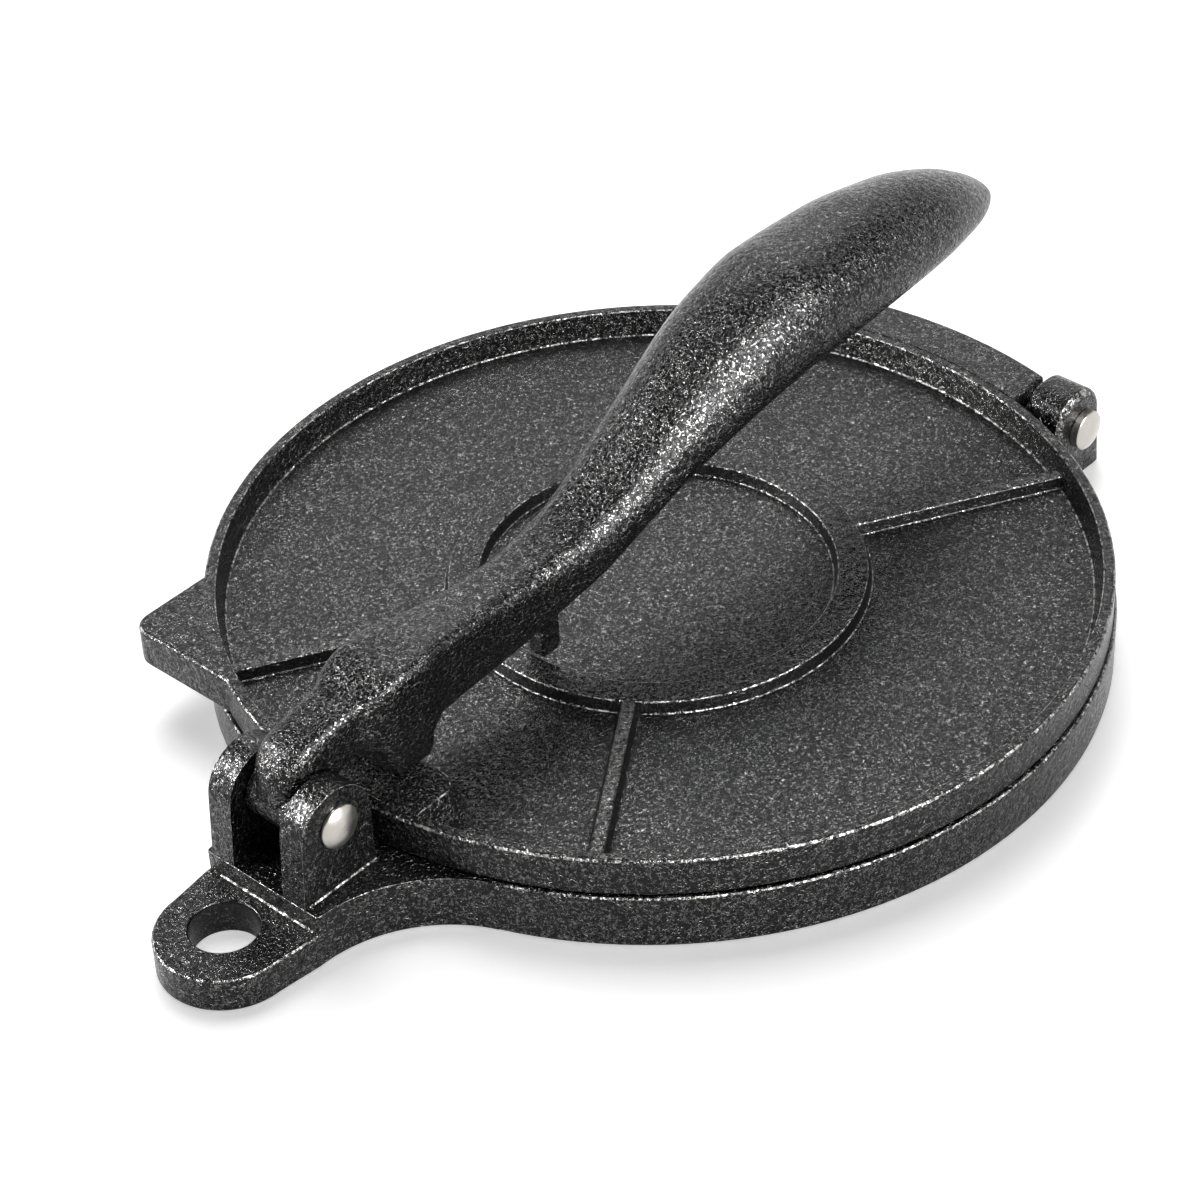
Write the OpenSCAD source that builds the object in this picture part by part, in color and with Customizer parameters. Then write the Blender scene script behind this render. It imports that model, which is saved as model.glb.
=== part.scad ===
// Tortilla press: two cast plates hinged at the back, pressed together by a
// cam lever that is pinned over the hanging tail of the base.
// X runs along the press from the tail (-X) to the hinge (+X), Z is up, and
// the origin is on the table under the middle of the press's length and width.

/* [Plates] */
// Radius of the upper plate
plate_r = 104; // [100:0.5:104.5]
// Thickness of the upper plate at its rim
plate_h = 9.5; // [9:0.1:10.5]
// Radius of the base plate
base_r = 104.8; // [104:0.1:106]
// Height of the base plate's pressing face above the table
base_h = 13.5; // [12.5:0.1:14]
// Gap between the closed pressing faces
face_gap = 0.3; // [0.3:0.1:1]
// Thickness of the web that closes each plate
web_t = 3; // [2.6:0.1:4]
// Width of the upper plate's rim on top
rim_w = 2.8; // [2.4:0.1:4]
// How far each rim wall spreads towards its web
rim_draft = 1.6; // [0.5:0.1:2.5]
// Radius that rounds the outer edges of the plates
edge_round = 0.8; // [0.3:0.1:1.2]

/* [Ring and ribs] */
// Outer radius of the stiffening ring on top
ring_outer_r = 48.2; // [44:0.1:52]
// Inner radius of the stiffening ring on top
ring_inner_r = 41.3; // [36:0.1:43]
// Height of the ring and ribs above the upper plate's web
ring_h = 2.8; // [2:0.1:4]
// Depth of the ring and ribs below the base plate's web
base_rib_h = 4; // [2:0.5:6]
// How far the ring's sides spread towards the web
ring_draft = 0.9; // [0:0.1:1.2]
// Width of a rib along its top
rib_w = 3; // [2:0.1:5]
// Angle of each rib from the length of the press
rib_angle = 30; // [25:1:40]
// Angle of the top rib on the near side of the tail, which stands a little wider
near_rib_angle = 33.3; // [30:0.1:36]

/* [Tail] */
// Distance of the hanging hole from the centre of the plates
hole_x = 139; // [137:0.5:141]
// Radius of the hanging hole
hole_r = 7.6; // [6:0.1:8.5]
// Radius of the loop round the hanging hole
tail_r = 15.4; // [15:0.1:16]
// How far the loop's centre lies beyond the hole
loop_shift = 0.6; // [0:0.1:1]
// How far the cast tail leans to the -Y side of the hole
tail_lean = 0.9; // [0:0.1:1.2]
// Thickness of the tail's loop
tail_h = 8.6; // [7:0.1:10]
// Half the tail's width where it meets the neck
neck_half_w = 16.7; // [16:0.1:18]
// Radius of the hollow curve from the tail to the plate
neck_curve_r = 34; // [30:1:36]
// Distance of the step up to the lever's ears from the plates' centre
step_x = 128.3; // [128:0.1:130]

/* [Lever pivot] */
// Distance of the lever's pin from the centre of the plates
lever_pin_x = 116.8; // [116:0.1:117.4]
// Height of the lever's pin above the table
lever_pin_z = 29.4; // [29:0.1:30]
// Radius of the round top of each ear
ear_r = 10; // [9:0.1:10.5]
// How far the round top's centre lies from the pin, along X and down
ear_offset = [0.4, 0.6]; // [0:0.1:1]
// Thickness of each ear
ear_t = 6.6; // [5:0.1:8]
// Gap between the ears
ear_gap = 14.8; // [14.4:0.1:16]
// Radius of both pins
pin_r = 3; // [2.5:0.1:3.2]
// Running clearance between a pin and its holes
pin_clearance = 0.05; // [0.03:0.01:0.1]

/* [Plate hinge] */
// Distance of the hinge pin from the centre of the plates
hinge_x = 112; // [111.8:0.1:113]
// Height of the hinge pin above the table
hinge_z = 13.7; // [13.6:0.1:14]
// Radius of each hinge ear's upper corners
knuckle_r = 7.4; // [7:0.1:8]
// Height of each hinge ear above the table
knuckle_top = 23.8; // [23.5:0.1:25]
// Half the width of the tongue between the hinge ears
tongue_half_w = 27; // [25:0.5:27.4]
// Radius of the tongue's curved end, from the plates' centre
tongue_end_r = 115.8; // [115:0.1:116]
// Radius of the tongue's barrel round the pin
barrel_r = 6.2; // [5.5:0.1:6.3]
// Distance of each hinge ear's inner face from the middle
knuckle_in = 28; // [27.7:0.1:28.5]
// Thickness of each hinge ear
knuckle_t = 11; // [9:0.1:12]
// Height of the bridge that stops the opened plate
bridge_h = 6.4; // [5:0.1:6.5]

/* [Lever] */
// Distance of the handle's tip from the centre of the plates
tip_x = 121.6; // [121:0.1:123]
// Half the width of the lever at its pin
nose_half_w = 6.6; // [6:0.1:7]
// Radius of the lever's boss round its pin
boss_r = 6.6; // [6:0.1:6.7]
// Half the length of the lever's boss along its pin
boss_half_w = 6.9; // [6.7:0.1:7]
// Height of the cam's bearing face above the table
cam_z = 22.9; // [22.9:0.1:23.2]
// Half the length of the nub that stops the lever on the plate
nub_half_l = 2.6; // [2:0.1:3.5]
// Half the width of the nub
nub_half_w = 2.2; // [1.8:0.1:3]
// Distance of the nub from the centre of the plates
nub_x = 39; // [38:0.1:42]

/* [Pad and tab] */
// Reach of the raised pad towards the centre of the plates
pad_x = 84.8; // [84:0.1:86]
// Half the width of the raised pad
pad_half_w = 19.3; // [18:0.1:21]
// Half the width of the shallow pocket that the cam sits in
pocket_half_w = 10.9; // [10.4:0.1:12]
// Depth of the cam's pocket below the rim
pocket_depth = 0.7; // [0.7:0.1:1]
// Distance of the lifting tab's square corner along X
tab_x = 94; // [92:0.5:96]
// Distance of the lifting tab's square corner along Y
tab_y = 76; // [74:0.5:78]
// Radius that rounds the lifting tab's corner
tab_round = 5; // [3:0.5:7]

/* [Hidden] */
$fn = 96;
iron = "#2c2c2e";
steel = "#c9c6c0";
eps = 0.01;

// The middle of the whole length, tail to handle tip, sits on the origin.
disc_x = (hole_x + loop_shift + tail_r - tip_x) / 2;

plate_z = base_h + face_gap;
plate_top = plate_z + plate_h;
web_top = plate_z + web_t;
base_web_z = base_h - web_t;
ring_top = web_top + ring_h;
hole_clear_r = pin_r + pin_clearance;
ear_out = ear_gap / 2 + ear_t;
knuckle_out = knuckle_in + knuckle_t;
wall_in_r = base_r - 4.6;

// Knots of the lever's outlines, each [distance from the plates' centre, value].
top_line = [[-123.2, 37.5], [-120, 42.6], [-117, 44.3], [-100, 47.4], [-91, 49.9],
            [-83, 50.2], [-68, 48.7], [-56, 48.1], [-45, 48.3], [-30, 50.3],
            [-15, 57.2], [0, 66], [20, 76.2], [45, 82.3], [70, 82.1], [90, 79.5],
            [105, 74.7], [114, 69.8], [119, 65.9], [tip_x, 62]];
under_line = [[-123.2, 30], [-120, 24.2], [-117, 22.7], [-111, 25], [-108, 31],
              [-103, 33.2], [-98.5, 31.5], [-94, 25], [-91, cam_z], [-85, cam_z],
              [-82.4, 24.6], [-81, 27.8], [-77, 28.8], [-60, 29.9], [-45, 32.3],
              [-30, 37], [-15, 43.3], [0, 48.6], [20, 53.9], [45, 57.7],
              [70, 58.6], [105, 58.9], [114, 59.3], [tip_x, 61.4]];
half_line = [[-117, nose_half_w], [-103, nose_half_w], [-97, 8.9], [-92, 9.6],
             [-84, 9.6], [-76, 8], [-60, 7.3], [-45, 7.9], [-30, 9.8], [-15, 11.4],
             [0, 13.2], [20, 16], [45, 17.6], [70, 16.8], [90, 14.9], [105, 11.3],
             [114, 7.8], [119, 4.6], [tip_x, 1]];
// Height of the rounded crown above the lever's widest line.
crown_line = [[-123.2, 4], [-117, nose_half_w], [-100, 7], [-60, 7.2], [-45, 7.4],
              [-15, 9.4], [20, 12.8], [45, 14.2], [70, 13.6], [105, 9], [114, 6],
              [tip_x, 0.3]];
// Exponent of the section below that line: 2 is round, higher is squarer.
square_line = [[-123.2, 3], [-60, 4.5], [-30, 3.6], [0, 2.5], [tip_x, 2.2]];
stations = [for (x = [-123.2, -122.4, -121.4, -120, -118.6]) x,
            for (x = [-117 : 1.5 : -78]) x,
            for (x = [-76 : 4 : 104]) x,
            for (x = [107, 110, 113, 115.5, 117.5, 119, 120.4, tip_x]) x];
section_points = 24;

// Smooth curve through knots that never overshoots between two of them.
function slope(k, i) = (k[i + 1][1] - k[i][1]) / (k[i + 1][0] - k[i][0]);
function tangent(k, i) =
    i == 0 ? slope(k, 0) :
    i == len(k) - 1 ? slope(k, i - 1) :
    slope(k, i - 1) * slope(k, i) <= 0 ? 0 :
    2 * slope(k, i - 1) * slope(k, i) / (slope(k, i - 1) + slope(k, i));
function span(k, x, i = 0) = i >= len(k) - 2 || x <= k[i + 1][0] ? i : span(k, x, i + 1);
function hermite(k, i, t, w) =
    (2 * pow(t, 3) - 3 * pow(t, 2) + 1) * k[i][1]
    + (pow(t, 3) - 2 * pow(t, 2) + t) * w * tangent(k, i)
    + (3 * pow(t, 2) - 2 * pow(t, 3)) * k[i + 1][1]
    + (pow(t, 3) - pow(t, 2)) * w * tangent(k, i + 1);
function curve(k, x) =
    let (i = span(k, x), w = k[i + 1][0] - k[i][0]) hermite(k, i, (x - k[i][0]) / w, w);

// The nose is round in plan about the lever's pin, and follows its knots after it.
function half_width(x) =
    x < -117 ? sqrt(pow(nose_half_w, 2) - pow(min(-117 - x, nose_half_w - 0.3), 2))
             : curve(half_line, x);
function signed_pow(v, e) = sign(v) * pow(abs(v), e);
function section_point(x, a) =
    let (top = curve(top_line, x), crown = curve(crown_line, x), mid = top - crown,
         belly = mid - curve(under_line, x), e = curve(square_line, x),
         w = half_width(x))
    a < 180 ? [x, w * cos(a), mid + crown * sin(a)]
            : [x, w * signed_pow(cos(a), 2 / e), mid + belly * signed_pow(sin(a), 2 / e)];

// Rounded corner of a turned outline: points on a quarter circle.
function corner(cx, cy, r, from) =
    [for (a = [0 : 22.5 : 90]) [cx + r * cos(from + a), cy + r * sin(from + a)]];

// A side-view outline, drawn in X and Z, made into a slab between two Y faces.
module slab(y_from, y_to) {
    translate([0, y_to, 0]) rotate([90, 0, 0]) linear_extrude(y_to - y_from) children();
}

// A cylinder along Y.
module y_rod(x, z, r, y_from, y_to) {
    translate([x, y_to, z]) rotate([90, 0, 0]) cylinder(r = r, h = y_to - y_from);
}

// Both mirrored copies about the middle of the press.
module both_sides() {
    children();
    mirror([0, 1, 0]) children();
}

// Four radial ribs whose flat edge points up (dir = 1) or down (dir = -1).
module ribs(inner, outer, z, h, dir, near_tail = rib_angle) {
    sunk = 0.5;
    foot = rib_w / 2 + ring_draft * (h + sunk) / h;
    for (turn = [-rib_angle, rib_angle, 180 - rib_angle, 180 + near_tail])
        rotate([0, 0, turn]) translate([inner, 0, z]) rotate([90, 0, 90])
            linear_extrude(outer - inner)
                polygon([[-foot, -dir * sunk], [foot, -dir * sunk],
                         [rib_w / 2, dir * h], [-rib_w / 2, dir * h]]);
}

module upper_disc() {
    rotate_extrude($fn = 180)
        polygon(concat(
            [[0, plate_z]],
            corner(plate_r - edge_round, plate_z + edge_round, edge_round, -90),
            corner(plate_r - edge_round, plate_top - edge_round, edge_round, 0),
            [[plate_r - rim_w, plate_top], [plate_r - rim_w - rim_draft, web_top],
             [ring_outer_r + ring_draft, web_top], [ring_outer_r, ring_top],
             [ring_inner_r, ring_top], [ring_inner_r - ring_draft, web_top],
             [0, web_top]]));
}

// Square-cornered ear on the rim for a thumb to lift the plate by.
module tab_outline() {
    difference() {
        union() {
            translate([-tab_x + tab_round, tab_y - tab_round]) circle(r = tab_round);
            polygon([[-tab_x, 44], [-tab_x, tab_y - tab_round],
                     [-tab_x + tab_round, tab_y - tab_round],
                     [-tab_x + tab_round, tab_y], [-70, tab_y], [-60, 60]]);
        }
        circle(r = plate_r - 1, $fn = 180);
    }
}

module tongue() {
    difference() {
        union() {
            intersection() {
                slab(-tongue_half_w, tongue_half_w)
                    translate([90, plate_z]) square([30, plate_h]);
                cylinder(r = tongue_end_r, h = 40, $fn = 180);
            }
            y_rod(hinge_x, hinge_z, barrel_r, -tongue_half_w, tongue_half_w);
        }
        cylinder(r = plate_r - 1, h = 40, $fn = 180);
    }
}

module cam_pad() {
    r = 4;
    difference() {
        translate([0, 0, web_top - 0.5]) linear_extrude(plate_top - web_top + 0.5)
            intersection() {
                union() {
                    for (y = [-1, 1])
                        translate([-pad_x - r, y * (pad_half_w - r)]) circle(r = r);
                    translate([-plate_r, r - pad_half_w])
                        square([plate_r - pad_x, 2 * (pad_half_w - r)]);
                    translate([-plate_r, -pad_half_w])
                        square([plate_r - pad_x - r, 2 * pad_half_w]);
                }
                circle(r = plate_r - 1.5, $fn = 180);
            }
        translate([-100, -pocket_half_w, plate_top - pocket_depth])
            cube([20, 2 * pocket_half_w, 5]);
    }
}

module upper_plate() color(iron) translate([disc_x, 0, 0]) {
    difference() {
        union() {
            upper_disc();
            translate([0, 0, plate_z]) linear_extrude(plate_h) tab_outline();
            tongue();
            cam_pad();
            ribs(ring_outer_r - 1, plate_r - rim_w, web_top, ring_h, 1, near_rib_angle);
        }
        y_rod(hinge_x, hinge_z, hole_clear_r, -tongue_half_w - 1, tongue_half_w + 1);
    }
}

module base_disc() {
    bottom = base_web_z - base_rib_h;
    rotate_extrude($fn = 180)
        polygon(concat(
            [[0, base_web_z], [ring_inner_r - ring_draft, base_web_z],
             [ring_inner_r, bottom], [ring_outer_r, bottom],
             [ring_outer_r + ring_draft, base_web_z],
             [wall_in_r - rim_draft, base_web_z], [wall_in_r, 0]],
            corner(base_r - edge_round, edge_round, edge_round, -90),
            corner(base_r - edge_round, base_h - edge_round, edge_round, 0),
            [[0, base_h]]));
}

// Plan of one half of the tail, on the +Y side, shifted by lean.
module half_tail(lean) {
    side = neck_half_w + lean;
    curve_y = side + neck_curve_r;
    curve_x = sqrt(pow(base_r + neck_curve_r, 2) - pow(curve_y, 2));
    touch = base_r / (base_r + neck_curve_r);
    difference() {
        union() {
            polygon([[-hole_x, lean], [-hole_x, tail_r + lean], [-curve_x, side],
                     [-90, side], [-90, -1], [-hole_x, -1]]);
            polygon([[-curve_x, 0], [-curve_x, curve_y],
                     [-curve_x * touch, curve_y * touch], [-90, 0]]);
        }
        translate([-curve_x, curve_y]) circle(r = neck_curve_r);
        circle(r = base_r - 2, $fn = 180);
    }
}

// Plan of the tail: round loop, neck, and hollow curves into the plate.
module tail_outline() {
    translate([-hole_x - loop_shift, -tail_lean]) circle(r = tail_r);
    half_tail(-tail_lean);
    mirror([0, 1]) half_tail(tail_lean);
}

module tail() {
    linear_extrude(tail_h) tail_outline();
    linear_extrude(base_h) intersection() {
        tail_outline();
        translate([-step_x, -60]) square([60, 120]);
    }
}

// One of the two upright ears that hold the lever's pin.
module lever_ear() {
    x = -lever_pin_x - ear_offset[0];
    z = lever_pin_z - ear_offset[1];
    slab(ear_gap / 2, ear_out) {
        translate([x, z]) circle(r = ear_r);
        polygon([[-step_x, base_h - 1], [-step_x, base_h],
                 [x + ear_r * cos(175), z + ear_r * sin(175)],
                 [x + ear_r, z], [x + ear_r, base_h - 1]]);
    }
}

// One of the two ears that hold the hinge pin, with its foot on the plate's wall.
module hinge_ear() {
    in_x = hinge_x - 9.3;
    out_x = hinge_x + 7.5;
    mid_z = knuckle_top - knuckle_r;
    slab(knuckle_in, knuckle_out) {
        for (x = [in_x + knuckle_r, out_x - knuckle_r])
            translate([x, mid_z]) circle(r = knuckle_r);
        polygon([[in_x, 0], [in_x, mid_z], [in_x + knuckle_r, knuckle_top],
                 [out_x - knuckle_r, knuckle_top], [out_x, mid_z], [out_x + 1.2, 0]]);
        translate([90, 0]) square([20, base_h]);
    }
}

module base_plate() color(iron) translate([disc_x, 0, 0]) {
    difference() {
        union() {
            base_disc();
            tail();
            both_sides() lever_ear();
            difference() {
                union() {
                    both_sides() hinge_ear();
                    translate([hinge_x + 1.6, -knuckle_in - 1, 0])
                        cube([6.4, 2 * knuckle_in + 2, bridge_h]);
                }
                cylinder(r = wall_in_r + 1, h = base_web_z + 1, $fn = 180);
            }
            ribs(ring_outer_r - 1, wall_in_r, base_web_z, base_rib_h, -1);
        }
        translate([-hole_x, 0, -1]) cylinder(r = hole_r, h = tail_h + 2);
        translate([hinge_x - 8.4, -knuckle_in, -1])
            cube([10, 2 * knuckle_in, base_h + 2]);
        y_rod(-lever_pin_x, lever_pin_z, hole_clear_r, -ear_out - 1, ear_out + 1);
        y_rod(hinge_x, hinge_z, hole_clear_r, -knuckle_out - 1, knuckle_out + 1);
    }
}

// The lever's body: one skin over all its sections.
module lever_body() {
    n = section_points;
    m = len(stations);
    points = [for (x = stations, j = [0 : n - 1]) section_point(x, j * 360 / n)];
    sides = [for (i = [0 : m - 2], j = [0 : n - 1])
             [i * n + j, (i + 1) * n + j,
              (i + 1) * n + (j + 1) % n, i * n + (j + 1) % n]];
    polyhedron(points = points,
               faces = concat([[for (j = [0 : n - 1]) j]], sides,
                              [[for (j = [n - 1 : -1 : 0]) (m - 1) * n + j]]));
}

module press_lever() color(iron) translate([disc_x, 0, 0]) {
    difference() {
        union() {
            lever_body();
            y_rod(-lever_pin_x, lever_pin_z, boss_r, -boss_half_w, boss_half_w);
            translate([-nub_x - nub_half_l, -nub_half_w, ring_top + face_gap])
                cube([2 * nub_half_l, 2 * nub_half_w, 17]);
        }
        y_rod(-lever_pin_x, lever_pin_z, hole_clear_r, -20, 20);
    }
}

// Domed end of a pin: a short drum with a ball-shaped face, pointing along +Z.
module dome(r, drum, crown) {
    ball_r = (pow(r, 2) + pow(crown, 2)) / (2 * crown);
    cylinder(r = r, h = drum);
    intersection() {
        translate([0, 0, drum + crown - ball_r]) sphere(r = ball_r);
        translate([0, 0, drum - eps]) cylinder(r = r, h = crown + 1);
    }
}

// A pin along Y with its own domed head at -Y and a plain end at +Y.
module headed_pin(x, z, reach, tail_len, r, drum, crown) {
    translate([x, -reach, z]) rotate([90, 0, 0]) dome(r, drum, crown);
    y_rod(x, z, pin_r, -reach - eps, reach + tail_len);
}

// Domed cap pushed onto the plain end of a pin.
module pin_cap(x, z, reach, tail_len, r, drum, crown) {
    difference() {
        translate([x, reach, z]) rotate([-90, 0, 0]) dome(r, drum, crown);
        y_rod(x, z, pin_r + 0.02, reach - 1, reach + tail_len + 0.1);
    }
}

module lever_pin() color(steel) translate([disc_x, 0, 0])
    headed_pin(-lever_pin_x, lever_pin_z, ear_out + 0.05, 1.8, 5.1, 0.7, 2);

module lever_pin_cap() color(steel) translate([disc_x, 0, 0])
    pin_cap(-lever_pin_x, lever_pin_z, ear_out + 0.05, 1.8, 5.1, 1.4, 2);

module hinge_pin() color(steel) translate([disc_x, 0, 0])
    headed_pin(hinge_x, hinge_z, knuckle_out + 0.05, 1.8, 5, 2, 1);

module hinge_pin_cap() color(steel) translate([disc_x, 0, 0])
    pin_cap(hinge_x, hinge_z, knuckle_out + 0.05, 1.8, 5, 2, 1);

base_plate();
upper_plate();
press_lever();
lever_pin();
lever_pin_cap();
hinge_pin();
hinge_pin_cap();
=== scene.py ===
"""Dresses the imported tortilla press: rounded iron castings, nickel rivets and a plain studio."""

import math
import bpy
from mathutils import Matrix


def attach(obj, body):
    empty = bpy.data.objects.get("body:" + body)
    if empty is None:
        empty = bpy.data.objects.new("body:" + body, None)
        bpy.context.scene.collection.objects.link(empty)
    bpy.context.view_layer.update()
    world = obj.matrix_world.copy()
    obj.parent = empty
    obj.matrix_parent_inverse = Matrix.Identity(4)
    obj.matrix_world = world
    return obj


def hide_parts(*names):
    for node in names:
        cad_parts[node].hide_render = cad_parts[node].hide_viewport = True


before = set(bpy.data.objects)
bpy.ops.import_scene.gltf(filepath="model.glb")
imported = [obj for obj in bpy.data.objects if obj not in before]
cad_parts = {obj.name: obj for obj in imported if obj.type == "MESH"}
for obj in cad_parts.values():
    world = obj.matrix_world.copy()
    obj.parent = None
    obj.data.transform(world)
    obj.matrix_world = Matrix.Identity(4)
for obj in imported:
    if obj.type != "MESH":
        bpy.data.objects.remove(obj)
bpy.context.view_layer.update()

from types import SimpleNamespace

import bmesh
import bpy
from bpy.props import FloatProperty, FloatVectorProperty, IntProperty, PointerProperty
from mathutils import Matrix, Vector

bl_info = {
    "name": "Tortilla Press",
    "version": (1, 0, 0),
    "blender": (4, 5, 0),
    "location": "View3D > Sidebar > Tortilla Press",
    "description": "Builds the castings, rivets and studio of a cast tortilla press",
    "category": "Add Mesh",
}

MM = 0.001

# Places of the dish and wall finishes in a casting's list of materials, after its body finish. The
# wall finish has shallower wrinkles, and its fewer flecks darken upright walls as painted shade.
DISH, SHADED_WALL = 1, 2

# Angle of the ribs to the lever's line, in degrees; one top rib by the tail stands wider.
RIB_ANGLE = 30.0
NEAR_RIB_ANGLE = 33.3

# The lever's side view and widths along its length. Each knot is the distance from the plates'
# centre and the value there, in mm.
LEVER_TOP = [
    (-123.2, 37.5), (-120, 42.6), (-117, 44.3), (-100, 47.4), (-91, 49.9), (-83, 50.2),
    (-68, 48.7), (-56, 48.1), (-45, 48.3), (-30, 50.3), (-15, 57.2), (0, 66), (10, 71.4),
    (20, 76.2), (30, 79.7), (45, 82.28), (70, 82.1), (90, 79.5), (105, 74.7), (114, 69.8),
    (119, 65.9), (121.6, 62),
]
LEVER_UNDER = [
    (-123.2, 30), (-120, 24.2), (-117, 22.7), (-111, 25), (-108, 31), (-103, 33.2),
    (-98.5, 31.5), (-94.6, 25), (-92, 22.9), (-84.4, 22.9), (-83.4, 24.2), (-82.7, 27.6),
    (-81.2, 28.9), (-77, 29.3), (-60, 29.9), (-45, 32.3), (-30, 37), (-15, 43.3), (0, 48.6),
    (20, 53.9), (45, 57.7), (70, 58.6), (105, 58.9), (114, 59.3), (121.6, 61.4),
]
LEVER_HALF_WIDTH = [
    (-117, 6.6), (-103, 6.6), (-97, 8.9), (-92, 9.6), (-84, 9.6), (-76, 8), (-60, 7.3),
    (-45, 7.9), (-30, 9.8), (-15, 11.4), (0, 13.2), (10, 14.7), (20, 16), (30, 16.9),
    (45, 17.6), (70, 16.8), (90, 14.9), (105, 11.3), (114, 7.8), (119, 4.6), (121.6, 1),
]
# Height of the widest line of a section below its top.
LEVER_CROWN = [
    (-123.2, 4), (-117, 6.6), (-100, 7), (-60, 7.2), (-45, 7.4), (-15, 9.4), (20, 12.8),
    (45, 14.2), (70, 13.6), (105, 9), (114, 6), (121.6, 0.3),
]
# How square a section is below and above its widest line: 2 is round, higher is squarer.
LEVER_SQUARE = [
    (-123.2, 3), (-98, 4), (-92, 8), (-83, 8), (-78, 5), (-60, 4.5), (-30, 3.6), (0, 2.5),
    (121.6, 2.2),
]
LEVER_SHOULDER = [
    (-123.2, 2), (-116, 3.6), (-108, 5), (-96, 6.2), (-72, 6), (-55, 4.4), (-35, 3.3),
    (-10, 2.4), (10, 2.05), (30, 2.15), (50, 2.35), (65, 2.3), (85, 2), (121.6, 2),
]
NOSE_X = -117.0
NOSE_HALF_WIDTH = 6.6


def length(name, default, description):
    """A size property, in metres."""
    return FloatProperty(
        name=name, default=default, min=0.0, unit="LENGTH", precision=5, description=description
    )


def colour(name, default, description):
    """A colour property."""
    return FloatVectorProperty(
        name=name, default=default, size=3, min=0.0, max=1.0, subtype="COLOR",
        description=description,
    )


def share(name, default, description, most=1.0):
    """A plain factor property."""
    return FloatProperty(name=name, default=default, min=0.0, max=most, description=description)


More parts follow.
